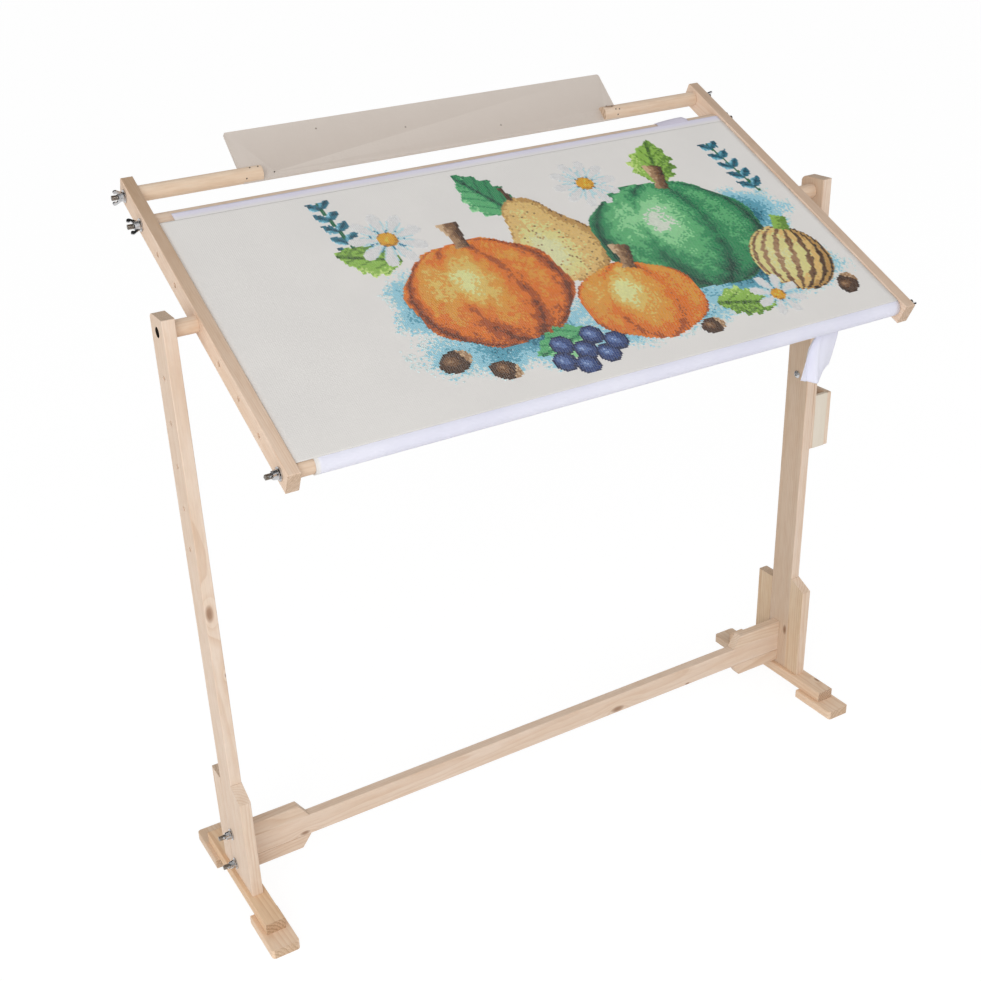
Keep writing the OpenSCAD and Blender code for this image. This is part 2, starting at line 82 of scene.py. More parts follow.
def make_camera():
    data = bpy.data.cameras.new("camera")
    data.lens = CAMERA_LENS
    data.sensor_width = CAMERA_SENSOR
    data.shift_x, data.shift_y = CAMERA_SHIFT
    camera = new_object("camera", data)
    camera.matrix_world = (
        Matrix.Translation(CAMERA_PLACE)
        @ Matrix.Rotation(-CAMERA_YAW, 4, "Z")
        @ Matrix.Rotation(math.pi / 2 - CAMERA_PITCH, 4, "X")
        @ Matrix.Rotation(CAMERA_ROLL, 4, "Z")
    )
    bpy.context.scene.camera = camera


make_camera()


# Node trees
NUMBER_MAKERS = ("DISTANCE", "DOT_PRODUCT", "LENGTH")


class Tree:
    """Adds nodes to a node tree and links them."""

    def __init__(self, tree):
        self.tree = tree

    def add(self, kind, inputs=None, **settings):
        node = self.tree.nodes.new(kind)
        for key, value in settings.items():
            setattr(node, key, value)
        for key, value in (inputs or {}).items():
            self.join(value, node.inputs[key])
        return node

    def join(self, value, socket):
        if isinstance(value, bpy.types.NodeSocket):
            self.tree.links.new(value, socket)
        else:
            socket.default_value = value

    def group(self, group, inputs):
        """Places a shader node group and gives its outputs."""
        return self.add("ShaderNodeGroup", inputs, node_tree=group).outputs

    def maths(self, operation, *values, clamp=False):
        node = self.add("ShaderNodeMath", dict(enumerate(values)), operation=operation)
        node.use_clamp = clamp
        return node.outputs[0]

    def vector(self, operation, *values):
        """Vector maths: a vector, or a number where the operation makes one."""
        node = self.add("ShaderNodeVectorMath", dict(enumerate(values)), operation=operation)
        return node.outputs["Value" if operation in NUMBER_MAKERS else "Vector"]

    def split(self, vector):
        return self.add("ShaderNodeSeparateXYZ", {0: vector}).outputs

    def mapping(self, vector, **settings):
        """A pattern's place, moved, turned and scaled."""
        return self.add("ShaderNodeMapping", {"Vector": vector, **settings}).outputs[0]

    def ramp(self, value, stops):
        """A grey that runs through (place, grey) stops as the value goes from 0 to 1."""
        node = self.add("ShaderNodeValToRGB", {0: value})
        elements = node.color_ramp.elements
        while len(elements) < len(stops):
            elements.new(0.5)
        for element, (place, grey) in zip(elements, stops):
            element.position = place
            element.color = (grey, grey, grey, 1)
        return node.outputs[0]

    def noise(self, place, scale, detail=2.0, roughness=0.5):
        node = self.add("ShaderNodeTexNoise", {"Vector": place, "Scale": scale, "Detail": detail,
                                               "Roughness": roughness})
        return node.outputs["Fac"]

    def mix(self, share, a, b, blend_type="MIX"):
        node = self.add("ShaderNodeMix", data_type="RGBA", blend_type=blend_type)
        for socket, value in ((node.inputs["Factor"], share), (node.inputs[6], a), (node.inputs[7], b)):
            self.join(value, socket)
        return node.outputs[2]

    def veil(self, body, grey):
        """A colour darkened or lit by a grey."""
        greys = self.add("ShaderNodeCombineColor", {0: grey, 1: grey, 2: grey}).outputs[0]
        return self.mix(1.0, body, greys, "MULTIPLY")


def shade_group(name, inputs, outputs, build):
    """A shader node group: inputs and outputs are (name, kind) pairs, and build fills it."""
    group = bpy.data.node_groups.new(name, "ShaderNodeTree")
    for way, sockets in (("INPUT", inputs), ("OUTPUT", outputs)):
        for socket, kind in sockets:
            group.interface.new_socket(name=socket, in_out=way, socket_type="NodeSocket" + kind)
    tree = Tree(group)
    made = build(tree, tree.add("NodeGroupInput").outputs)
    tree.add("NodeGroupOutput", made)
    return group


def new_material(name):
    material = bpy.data.materials.new(name)
    material.use_nodes = True
    return material, Tree(material.node_tree), material.node_tree.nodes["Principled BSDF"]


def surface(tree, shader, body, roughness, height, strength, depth):
    """Gives a shader its colour, its roughness and a relief of a strength and a depth in mm."""
    tree.join(body, shader.inputs["Base Color"])
    tree.join(roughness, shader.inputs["Roughness"])
    relief = tree.add("ShaderNodeBump", {"Height": height, "Strength": strength, "Distance": depth * MM})
    tree.join(relief.outputs[0], shader.inputs["Normal"])


def object_place(tree):
    return tree.add("ShaderNodeTexCoord").outputs["Object"]


def dress(obj, material):
    """Puts one material on every face of a piece."""
    if obj.material_slots:
        for slot in obj.material_slots:
            slot.material = material
    else:
        obj.data.materials.append(material)


def colour(red, green, blue):
    """A display colour of 0 to 255 as the linear colour that a shader takes."""
    def linear(c):
        c /= 255
        return c / 12.92 if c <= 0.04045 else ((c + 0.055) / 1.055) ** 2.4
    return (linear(red), linear(green), linear(blue), 1)


# Pine: rings round a distant pith, fine fibres, resin flecks and darker cut ends
PINE_PALE = colour(240, 222, 205)
PINE_WARM = colour(232, 208, 184)
PINE_LATE = colour(208, 170, 136)
PINE_CUT = colour(172, 146, 118)
DARK_CUT = colour(140, 104, 78)
KNOT_BROWN = colour(138, 92, 58)
WOOD_SHINE = 0.35
# How much the drift of the rings, the fibres and the knots are drawn out along the grain
DRIFT_STRETCH, FIBRE_STRETCH, KNOT_STRETCH = (0.16, 1, 1), (0.02, 1, 1), (0.42, 1, 1)
# Scales of the noise behind each mark in the wood, per metre
DRIFT, BROAD, MOTTLE, PORES, FIBRES, FLECKS = 26, 55, 230, 620, 900, 2300
BROAD_SHARE, FLECK_SHARE, MOTTLE_SHARE, PORE_SHARE = 0.55, 0.22, 0.22, 0.55


def build_pine(tree, given):
    parts = tree.split(given["Place"])
    drifting = tree.vector("MULTIPLY", given["Place"], DRIFT_STRETCH)
    wander = tree.maths("SUBTRACT", tree.noise(drifting, DRIFT), 0.5)
    across = tree.add("ShaderNodeCombineXYZ", {1: parts[1], 2: parts[2]}).outputs[0]
    from_pith = tree.vector("DISTANCE", across, given["Pith"])
    bent = tree.maths("MULTIPLY_ADD", wander, given["Figure"], from_pith)
    bent = tree.maths("ADD", bent, given["Swirl"])
    radius = tree.maths("MULTIPLY_ADD", parts[0], given["Taper"], bent)
    ring = tree.maths("DIVIDE", radius, given["Ring width"])
    late = tree.ramp(tree.maths("FRACT", ring), [(0, 0.6), (0.1, 0.02), (0.5, 0.15), (0.93, 1)])
    year = tree.add("ShaderNodeTexWhiteNoise", {"W": tree.maths("FLOOR", ring)},
                    noise_dimensions="1D").outputs["Value"]
    late = tree.maths("MULTIPLY", late, tree.maths("MULTIPLY_ADD", year, 0.7, 0.3))
    fibre_place = tree.vector("MULTIPLY", given["Place"], FIBRE_STRETCH)
    fibre = tree.noise(fibre_place, FIBRES, 3, 0.65)
    fleck = tree.ramp(tree.noise(fibre_place, FLECKS, 1), [(0.66, 0), (0.74, 1)])
    broad = tree.ramp(tree.noise(drifting, BROAD), [(0.3, 0), (0.7, 1)])
    mottle = tree.ramp(tree.noise(drifting, MOTTLE, 3, 0.65), [(0.42, 0), (0.72, 1)])
    body = tree.mix(tree.maths("MULTIPLY", broad, BROAD_SHARE), given["Pale"], given["Warm"])
    for mark, share in ((late, given["Contrast"]), (fleck, FLECK_SHARE), (mottle, MOTTLE_SHARE)):
        body = tree.mix(tree.maths("MULTIPLY", mark, share), body, given["Late"])
    body = tree.veil(body, tree.maths("MULTIPLY_ADD", fibre, 0.16, 0.92))
    cut = tree.maths("MAXIMUM", tree.maths("LESS_THAN", parts[0], given["Low end"]),
                     tree.maths("GREATER_THAN", parts[0], given["High end"]))
    pores = tree.ramp(tree.noise(given["Place"], PORES, 2, 0.7), [(0.42, 0), (0.66, 1)])
    end_wood = tree.mix(tree.maths("MULTIPLY_ADD", late, 0.4, 0.25), body, given["Cut"])
    end_wood = tree.mix(tree.maths("MULTIPLY", pores, PORE_SHARE), end_wood, given["Cut"])
    body = tree.mix(cut, body, end_wood)
    knot = tree.maths("MULTIPLY", given["Heart"], tree.maths("MULTIPLY_ADD", fibre, 0.6, 0.6), clamp=True)
    body = tree.mix(knot, body, KNOT_BROWN)
    height = tree.maths("MULTIPLY_ADD", late, -0.4, tree.maths("MULTIPLY", fibre, 0.8))
    rough = tree.maths("MULTIPLY_ADD", fibre, 0.2, 0.5)
    return {"Color": body, "Height": height, "Roughness": rough}


PINE_GROUP = shade_group(
    "pine grain",
    [("Place", "Vector"), ("Pith", "Vector"), ("Ring width", "Float"), ("Figure", "Float"),
     ("Taper", "Float"), ("Contrast", "Float"), ("Pale", "Color"), ("Warm", "Color"), ("Late", "Color"),
     ("Cut", "Color"), ("Swirl", "Float"), ("Heart", "Float"), ("Low end", "Float"), ("High end", "Float")],
    [("Color", "Color"), ("Height", "Float"), ("Roughness", "Float")],
    build_pine)


# A knot: how far it pushes the rings aside, and its dark heart
def build_knot(tree, given):
    apart = tree.vector("MULTIPLY", tree.vector("SUBTRACT", given["Place"], given["Knot"]), KNOT_STRETCH)
    far = tree.maths("DIVIDE", tree.vector("LENGTH", apart), given["Size"])
    swirl = tree.ramp(tree.maths("MULTIPLY", far, 0.25), [(0, 1), (0.25, 0.75), (0.6, 0.2), (1, 0)])
    swirl = tree.maths("MULTIPLY", swirl, tree.maths("MULTIPLY", given["Size"], 1.6))
    heart = tree.ramp(far, [(0, 0.9), (0.45, 0.75), (0.8, 0.35), (1, 0)])
    return {"Swirl": swirl, "Heart": heart}


KNOT_GROUP = shade_group(
    "knot",
    [("Place", "Vector"), ("Knot", "Vector"), ("Size", "Float")],
    [("Swirl", "Float"), ("Heart", "Float")],
    build_knot)

# Turns that bring a piece's grain onto x: from the stand's x, y or z, or up the tilted frame
GRAIN = {
    "x": Matrix.Identity(3),
    "y": Matrix.Rotation(-math.pi / 2, 3, "Z"),
    "z": Matrix.Rotation(math.pi / 2, 3, "Y"),
    "v": Matrix.Rotation(-math.pi / 2, 3, "Z") @ Matrix.Rotation(-TILT, 3, "X"),
}
# Depth of the end wood at a cut, in mm
CUT_DEPTH = 0.3


def side_patina_and_shade(tree, body, along, half, way, tone, low_share):
    """Wood of a darker tone on the side that faces one way, in full at its high end: browned wood on some pieces
    and painted shade on others, as the table below says.
    """
    faced = tree.vector("DOT_PRODUCT", tree.add("ShaderNodeTexCoord").outputs["Normal"], way)
    share = tree.maths("MULTIPLY_ADD", along, (1 - low_share) / (2 * half), (1 + low_share) / 2)
    share = tree.maths("MULTIPLY", tree.ramp(faced, [(0.55, 0), (0.9, 1)]), share)
    return tree.mix(share, body, tree.mix(1.0, body, (*tone, 1), "MULTIPLY"))


def painted_recess_shade(tree, body):
    """Wood painted near-black in the round recesses that hold the pivot bolts' heads, as painted shade inside
    them.
    """
    apart = tree.vector("MULTIPLY", tree.vector("SUBTRACT", object_place(tree), PIVOT), (0, 1, 1))
    recess = tree.maths("LESS_THAN", tree.vector("LENGTH", apart), RECESS_R * MM)
    return tree.mix(recess, body, RECESS_SHADE_BLACK)


def pine(obj, grain, pith, ring, figure, taper, contrast, tint):
    """Pine for one piece, as one line of the table below says."""
    material, tree, shader = new_material("pine_" + obj.name)
    turn = GRAIN[grain]
    places = np.array([turn @ v.co for v in obj.data.vertices])
    low, high = places.min(0), places.max(0)
    middle = Vector((low + high) / 2)
    half = (high[0] - low[0]) / 2
    mapped = tree.mapping(object_place(tree), Location=-middle, Rotation=turn.to_euler())
    swirl, heart = 0.0, 0.0
    for at, size in KNOTS.get(obj.name, ()):
        knot = tree.group(KNOT_GROUP, {"Place": mapped, "Knot": turn @ (Vector(at) * MM) - middle,
                                       "Size": size * MM})
        swirl = tree.maths("ADD", knot["Swirl"], swirl)
        heart = tree.maths("MAXIMUM", knot["Heart"], heart)
    pale, warm, late, cut = ([c * t for c, t in zip(wood, (*tint, 1))]
                             for wood in (PINE_PALE, PINE_WARM, PINE_LATE, PINE_CUT))
    grown = tree.group(PINE_GROUP, {
        "Place": mapped, "Pith": (0, pith[0] * MM, pith[1] * MM), "Ring width": ring * MM,
        "Figure": figure * MM, "Taper": taper, "Contrast": contrast, "Pale": pale, "Warm": warm, "Late": late,
        "Cut": DARK_CUT if obj.name in DARK_ENDED else cut, "Swirl": swirl, "Heart": heart,
        "Low end": -half + CUT_DEPTH * MM, "High end": half - CUT_DEPTH * MM,
    })
    body = grown["Color"]
    # Darker sides: browned wood on the arms, painted shade on the left faces of the right upright and its wings
    if obj.name in PATINA_AND_SHADE_SIDES:
        body = side_patina_and_shade(tree, body, tree.split(mapped)[0], half, *PATINA_AND_SHADE_SIDES[obj.name])
    # Painted shade in the recesses of the pivot bolts
    if obj.name in PIVOTED:
        body = painted_recess_shade(tree, body)
    shader.inputs["Specular IOR Level"].default_value = WOOD_SHINE
    surface(tree, shader, body, grown["Roughness"], grown["Height"], 0.25, 0.3)
    dress(obj, material)


# Grain direction, pith's place and ring width in mm, figure, taper, contrast and tint of each pine piece
PINE_PIECES = {
    "left_upright": ("z", (34, 9), 3.6, 9, 0.012, 0.42, (1.0, 0.985, 0.975)),
    "right_upright": ("z", (-30, 14), 3.2, 7, -0.01, 0.4, (0.98, 0.95, 0.93)),
    "left_back_wing": ("z", (20, 30), 4.2, 12, 0.02, 0.4, (1.0, 0.98, 0.96)),
    "right_back_wing": ("z", (28, -16), 3.4, 16, 0.03, 0.6, (0.97, 0.93, 0.88)),
    "left_front_wing": ("z", (-26, 12), 3.0, 10, -0.015, 0.45, (0.99, 0.97, 0.95)),
    "right_front_wing": ("z", (22, 22), 4.4, 13, 0.02, 0.5, (0.98, 0.94, 0.9)),
    "left_foot_bar": ("y", (20, -26), 4.0, 12, 0.02, 0.55, (1.0, 0.87, 0.7)),
    "right_foot_bar": ("y", (-22, -24), 3.6, 12, 0.015, 0.5, (1.0, 0.92, 0.82)),
    "left_front_pad": ("y", (30, -34), 5.0, 16, 0.03, 0.45, (1.06, 0.98, 0.88)),
    "right_front_pad": ("y", (-28, -30), 4.6, 16, -0.03, 0.45, (1.06, 0.99, 0.9)),
    "left_back_pad": ("y", (24, -30), 5.0, 18, 0.02, 0.6, (0.94, 0.88, 0.8)),
    "right_back_pad": ("y", (-24, -36), 4.4, 14, 0.02, 0.6, (0.95, 0.9, 0.83)),
    "stretcher_bar": ("x", (26, 10), 3.4, 10, 0.012, 0.4, (1.0, 0.97, 0.95)),
    "left_upper_block": ("x", (32, -18), 4.6, 18, 0.05, 0.55, (0.96, 0.93, 0.9)),
    "right_upper_block": ("x", (24, 24), 4.2, 16, -0.05, 0.5, (0.99, 0.96, 0.92)),
    "left_lower_block": ("x", (26, 28), 4.4, 20, 0.06, 0.55, (0.97, 0.93, 0.9)),
    "right_lower_block": ("x", (30, -16), 4.8, 18, -0.06, 0.5, (0.99, 0.95, 0.91)),
    "left_arm": ("v", (26, 16), 2.6, 16, 0.035, 0.38, (1.04, 0.99, 0.95)),
    "right_arm": ("v", (-24, 18), 2.8, 14, -0.03, 0.4, (1.02, 0.97, 0.94)),
    "left_pivot_spacer": ("x", (16, 12), 3.4, 8, 0.01, 0.35, (0.99, 0.94, 0.88)),
    "right_pivot_spacer": ("x", (14, -14), 3.6, 8, 0.01, 0.35, (0.98, 0.93, 0.87)),
    # The upper roller's darker, greyer tint is painted shade behind the tape
    "upper_roller": ("x", (18, 10), 3.8, 9, 0.008, 0.3, (0.9, 0.87, 0.84)),
    "lower_roller": ("x", (15, 14), 3.8, 9, 0.008, 0.3, (0.97, 0.92, 0.86)),
    "left_board_dowel": ("x", (14, 12), 4.2, 8, 0.01, 0.22, (1.03, 0.99, 0.92)),
    "right_board_dowel": ("x", (16, 16), 4.0, 8, 0.012, 0.22, (1.0, 0.955, 0.9)),
    "tool_box_back_plate": ("z", (24, 14), 3.0, 8, 0.01, 0.4, (0.98, 0.95, 0.92)),
    "tool_box_side": ("z", (20, 20), 3.2, 9, 0.012, 0.35, (1.0, 0.98, 0.95)),
}
# Places on the wood's faces and sizes of the knots, in mm
KNOTS = {
    "left_upright": (((-469, -34.5, 440), 5.5), ((-460, -34.5, 351), 1.6)),
    "right_upright": (((444.5, -28.4, 96), 4.2),),
    "stretcher_bar": (((-377, -16, 57.5), 3.4), ((134, -16, 59), 5.5), ((265, -16, 55), 2.2)),
    "right_board_dowel": (((255.5, 186.5, 890), 5),),
    "right_foot_bar": (((462, -88, 29), 3),),
}
# Sides drawn darker: the arms' tops as wood browned by light and hands, and the left faces of the right upright
# and its wings as painted shade under the frame. Their way, their tone at the high end and its share at the low
# end
PATINA_AND_SHADE_SIDES = {
    "left_arm": (UP_FRAME, (0.62, 0.56, 0.48), 0.05),
    "right_arm": (UP_FRAME, (0.74, 0.71, 0.67), 0.45),
    "right_upright": (TO_LEFT, (0.82, 0.8, 0.76), 1),
    "right_front_wing": (TO_LEFT, (0.89, 0.87, 0.79), 1),
    "right_back_wing": (TO_LEFT, (0.89, 0.87, 0.79), 1),
}
DARK_ENDED = ("left_foot_bar", "right_foot_bar")
# The uprights have recesses for the pivot bolts' heads, painted near-black to this radius in mm as the shade
# inside them
PIVOTED = ("left_upright", "right_upright")
RECESS_R = 6.2
RECESS_SHADE_BLACK = (0.018, 0.012, 0.008, 1)
for name, look in PINE_PIECES.items():
    pine(frame["nodes"][name], *look)

# Zinc-plated steel: fine scratches and slightly uneven plating, or screw thread
PLATING, SCRATCHES = 260, 1900
SCRATCH_DEPTH, THREAD_DEPTH = 0.1, 0.6


def zinc(name, base, rough, wear, pitch=0):
    """Plated steel, worn darker in clouds; a pitch in mm cuts screw thread across x."""
    material, tree, shader = new_material(name)
    place = object_place(tree)
    cloud = tree.noise(place, PLATING, 3, 0.6)
    relief = tree.noise(place, SCRATCHES, 2, 0.7)
    if pitch:
        ridge = tree.maths("PINGPONG", tree.maths("DIVIDE", tree.split(place)[0], pitch * MM / 2), 1.0)
        relief = tree.maths("MULTIPLY_ADD", relief, 0.1, ridge)
    body = tree.mix(tree.ramp(cloud, [(0.35, 0), (0.7, 1)]), base, [c * wear for c in base[:3]] + [1])
    shader.inputs["Metallic"].default_value = 1
    rough = tree.maths("MULTIPLY_ADD", cloud, 0.25, rough - 0.1)
    strength, depth = (0.6, THREAD_DEPTH) if pitch else (0.12, SCRATCH_DEPTH)
    surface(tree, shader, body, rough, relief, strength, depth)
    return material


bright_zinc = zinc("bright_zinc", (0.64, 0.64, 0.65, 1), rough=0.16, wear=0.72)
screw_thread = zinc("screw_thread", (0.34, 0.3, 0.26, 1), rough=0.3, wear=0.7, pitch=1)
dark_steel = zinc("dark_steel", (0.16, 0.13, 0.11, 1), rough=0.5, wear=0.6)
for part in record["subparts"]:
    if part["material_slot"] == "zinc":
        steel = bright_zinc
        if part["node"].endswith("_studs"):
            steel = screw_thread
        elif part["node"] in ("board_brads", "pivot_bolts"):
            steel = dark_steel
        dress(frame["nodes"][part["node"]], steel)

# Plywood: a smooth face with faint figure, pin flecks, and stripes of thin layers on its cut edges
PLY_LAYERS = 5.0
PLY_STRETCH = (1, 0.05, 1)
PLY_FIGURE, PLY_FIBRES = 60, 1300
BOARD_T, BOX_T = 3.5, 5.5
BOARD_PALE, BOARD_DARK = colour(231, 221, 212), colour(206, 193, 182)
BOX_PALE, BOX_DARK = colour(238, 228, 212), colour(200, 178, 150)
FLECK_BROWN = colour(98, 70, 52)
BOARD_TURN = Matrix.Rotation(-BOARD_ANGLE, 3, "X")
# Places across and up the chart board and radii of its pin flecks, in mm
BOARD_FLECKS = ((119.3, 58.9, 1.6), (238.4, 40, 1.5), (372.7, 19.4, 1.5))


def build_ply(tree, given):
    layer = tree.maths("MULTIPLY", tree.maths("DIVIDE", tree.split(given["Place"])[2], given["Thickness"]),
                       given["Layers"])
    cross = tree.maths("GREATER_THAN", tree.maths("FRACT", tree.maths("MULTIPLY", layer, 0.5)), 0.5)
    stretched = tree.vector("MULTIPLY", given["Place"], PLY_STRETCH)
    figure = tree.ramp(tree.noise(stretched, PLY_FIGURE, 3), [(0.35, 0), (0.68, 1)])
    fine = tree.noise(stretched, PLY_FIBRES, 3, 0.7)
    body = tree.mix(tree.maths("MULTIPLY", figure, given["Figure"]), given["Pale"], given["Dark"])
    body = tree.mix(tree.maths("MULTIPLY", cross, 0.75), body, given["Dark"])
    return {"Color": tree.veil(body, tree.maths("MULTIPLY_ADD", fine, 0.1, 0.95)), "Height": fine}


PLY_GROUP = shade_group(
    "plywood layers",
    [("Place", "Vector"), ("Thickness", "Float"), ("Layers", "Float"), ("Figure", "Float"), ("Pale", "Color"),
     ("Dark", "Color")],
    [("Color", "Color"), ("Height", "Float")],
    build_ply)


def plywood(obj, pale, dark, figure, thickness, order, turn=Matrix.Identity(3), flecks=()):
    """Plywood with its layers across the last axis of order, and flecks on the face of the turned piece."""
    material, tree, shader = new_material("plywood_" + obj.name)
    low = np.array([turn @ v.co for v in obj.data.vertices]).min(0)
    parts = tree.split(tree.mapping(object_place(tree), Location=Vector(-low), Rotation=turn.to_euler()))
    place = tree.add("ShaderNodeCombineXYZ",
                     {i: parts["xyz".index(axis)] for i, axis in enumerate(order)}).outputs[0]
    layers = tree.group(PLY_GROUP, {"Place": place, "Thickness": thickness * MM, "Layers": PLY_LAYERS,
                                    "Figure": figure, "Pale": pale, "Dark": dark})
    body = layers["Color"]
    for x, h, radius in flecks:
        spot = tree.vector("DISTANCE", place, (x * MM, h * MM, thickness * MM))
        shade = tree.ramp(tree.maths("DIVIDE", spot, radius * MM), [(0.4, 0.8), (1, 0)])
        body = tree.mix(shade, body, FLECK_BROWN)
    shader.inputs["Specular IOR Level"].default_value = WOOD_SHINE
    rough = tree.maths("MULTIPLY_ADD", layers["Height"], 0.15, 0.5)
    surface(tree, shader, body, rough, layers["Height"], 0.15, 0.2)
    dress(obj, material)


plywood(frame["nodes"]["chart_board"], BOARD_PALE, BOARD_DARK, 0.07, BOARD_T, "xyz", BOARD_TURN, BOARD_FLECKS)
for name, order in (("tool_box_front", "xzy"), ("tool_box_rear", "xzy"), ("tool_box_floor", "xyz")):
    plywood(frame["nodes"][name], BOX_PALE, BOX_DARK, 0.3, BOX_T, order)

# Woven cloth: threads both ways with small holes between the blocks, which are painted dark as the shade inside
# them
PAINTED_HOLE_SHADE = (0.32, 0.3, 0.3, 1)
SLUB_SCALE = 0.9
CLOUD_SCALE = 14
THREADS_A_BLOCK = 4


def build_weave(tree, given):
    parts = tree.split(given["Cells"])[:2]
    waves = [tree.maths("COSINE", tree.maths("MULTIPLY", part, 2 * math.pi)) for part in parts]
    bulge = [tree.maths("MULTIPLY_ADD", w, -0.5, 0.5) for w in waves]
    block = tree.maths("MULTIPLY", *(tree.maths("POWER", b, 0.35) for b in bulge))
    hole = tree.ramp(tree.maths("MAXIMUM", *bulge), [(0.02, 1), (0.14, 0)])
    turn = 2 * math.pi * THREADS_A_BLOCK
    fine = tree.maths("MULTIPLY", *(tree.maths("SINE", tree.maths("MULTIPLY", part, turn)) for part in parts))
    slub = tree.noise(given["Cells"], given["Slub"])
    height = tree.maths("MULTIPLY_ADD", fine, 0.12, block)
    height = tree.maths("MULTIPLY_ADD", slub, 0.3, height)
    return {"Height": height, "Hole": hole, "Slub": slub}


WEAVE_GROUP = shade_group(
    "weave",
    [("Cells", "Vector"), ("Slub", "Float")],
    [("Height", "Float"), ("Hole", "Float"), ("Slub", "Float")],
    build_weave)


def woven(name, pale, shade, cells, hole_share=0.1, depth=0.12, sheen=0.2, cloudy=0.6, fade=None):
    """Cloth whose own map runs from 0 to 1, with a number of woven cells each way and a relief in mm.

    fade is an axis of the map, the two places between which another colour gives way, and that colour."""
    material, tree, shader = new_material(name)
    own_map = tree.add("ShaderNodeTexCoord").outputs["UV"]
    weave = tree.group(WEAVE_GROUP, {"Cells": tree.mapping(own_map, Scale=(*cells, 1)), "Slub": SLUB_SCALE})
    cloud = tree.noise(object_place(tree), CLOUD_SCALE, 3)
    body = tree.mix(tree.ramp(cloud, [(0.35, 0), (0.7, cloudy)]), pale, shade)
    if fade:
        axis, first, last, other = fade
        along = tree.split(own_map)[axis]
        body = tree.mix(tree.ramp(along, [(first, 0), (last, 1)]), other, body)
    # Painted shade in the holes between the blocks
    body = tree.mix(tree.maths("MULTIPLY", weave["Hole"], hole_share), body, PAINTED_HOLE_SHADE)
    body = tree.mix(tree.maths("MULTIPLY", weave["Slub"], 0.12), body, shade)
    shader.inputs["Specular IOR Level"].default_value = 0.2
    shader.inputs["Sheen Weight"].default_value = sheen
    shader.inputs["Sheen Roughness"].default_value = 0.5
    rough = tree.maths("MULTIPLY_ADD", weave["Slub"], 0.15, 0.78)
    surface(tree, shader, body, rough, weave["Height"], 0.35, depth)
    return material


# New pieces
def riding(name, mesh, body, material):
    """A finished mesh as a smooth piece that rides on a body."""
    mesh.polygons.foreach_set("use_smooth", np.ones(len(mesh.polygons), bool))
    obj = new_object(name, mesh)
    dress(obj, material)
    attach(obj, body)
    return obj


def cloth(name, grid, place, thickness, body, material, at=ON_FRAME):
    """A mapped cloth whose middle goes where place(s, t) says, in mm, with s and t from 0 to 1."""
    bm = bmesh.new()
    bm.loops.layers.uv.new("UVMap")
    columns, rows = grid
    bmesh.ops.create_grid(bm, x_segments=columns, y_segments=rows, size=0.5, calc_uvs=True)
    for vertex in bm.verts:
        vertex.co = Vector(place(vertex.co.x + 0.5, vertex.co.y + 0.5)) * MM
    bm.transform(at)
    mesh = bpy.data.meshes.new(name)
    bm.to_mesh(mesh)
    bm.free()
    obj = riding(name, mesh, body, material)
    modifier = obj.modifiers.new("thickness", "SOLIDIFY")
    modifier.thickness = thickness * MM
    modifier.offset = 0
    modifier.use_even_offset = True
    return obj


def ripple(x, y, size, depth):
    """Soft unevenness of cloth at a place in mm, of a size and depth in mm."""
    return depth * noise.noise(Vector((x / size, y / size, 0.5)))


# Sizes of the cloth on the frame, from its nodes' own sizes, in mm
HALF_CLOTH = 407.5
CLOTH_HIGH = 156
CLOTH_T = 0.6
AIDA_CELL = 2.4
TAPE_LEFT, TAPE_LOW, TAPE_HIGH = -388, 150, 169
TAPE_W, TAPE_T = 10.1, 0.5
ROLLER_R = 9.5
LOWER_V, UPPER_V = -224.5, 171
WOUND_LEFT, WOUND_RIGHT = -388, 407.7
WOUND_T = 0.42
WOUND_TURNS = 3
WOUND_GAP = 0.04
WOUND_OUTER = 11.1
LAP_OVER = 1.5
CLOTH_GAP = 0.15
TAPE_SINK = 0.25
PANEL_R = WOUND_OUTER + (WOUND_T + CLOTH_T) / 2 + CLOTH_GAP
PANEL_TOP = TAPE_W + (TAPE_T + CLOTH_T) / 2 - TAPE_SINK
PANEL_L = LAP_OVER + CLOTH_HIGH - LOWER_V

AIDA_PALE, AIDA_SHADE = colour(240, 237, 233), colour(230, 227, 224)
COTTON_PALE, COTTON_SHADE = colour(240, 240, 252), colour(226, 226, 243)
TAPE_PALE, TAPE_SHADE = colour(233, 230, 244), colour(222, 218, 236)
# The lapped end is the tape's cotton painted darker and greyer, as painted shade where it faces up and back
LAP_PALE_IN_SHADE, LAP_DARK_IN_SHADE = colour(216, 211, 226), colour(198, 192, 210)
AIDA_CELLS = (2 * HALF_CLOTH / AIDA_CELL, PANEL_L / AIDA_CELL)
aida = woven("aida_weave", AIDA_PALE, AIDA_SHADE, AIDA_CELLS, hole_share=0.35, depth=0.35, sheen=0.15,
             cloudy=0.35)
white = woven("white_cotton", COTTON_PALE, COTTON_SHADE, (60, 120))
tape_cotton = woven("tape_cotton", TAPE_PALE, TAPE_SHADE, (1200, 30), fade=(1, 0.36, 0.74, AIDA_PALE))
roll_cotton = woven("roll_cotton", COTTON_PALE, COTTON_SHADE, (1200, 300), fade=(0, 0.0062, 0.007, AIDA_PALE))
# Painted shade: the lap in darker, greyer cotton than the tape
shaded_lap_cotton = woven("shaded_lap_cotton", LAP_PALE_IN_SHADE, LAP_DARK_IN_SHADE, (80, 20))


def cloth_height(x, v):
    """Height of the stretched cloth's middle over the frame's middle plane between the rollers, in mm."""
    t = (v - LOWER_V) / (CLOTH_HIGH - LOWER_V)
    return PANEL_R + (PANEL_TOP - PANEL_R) * t + ripple(x, v, 90, 0.35) * min(1, t * 8, (1 - t) * 8)


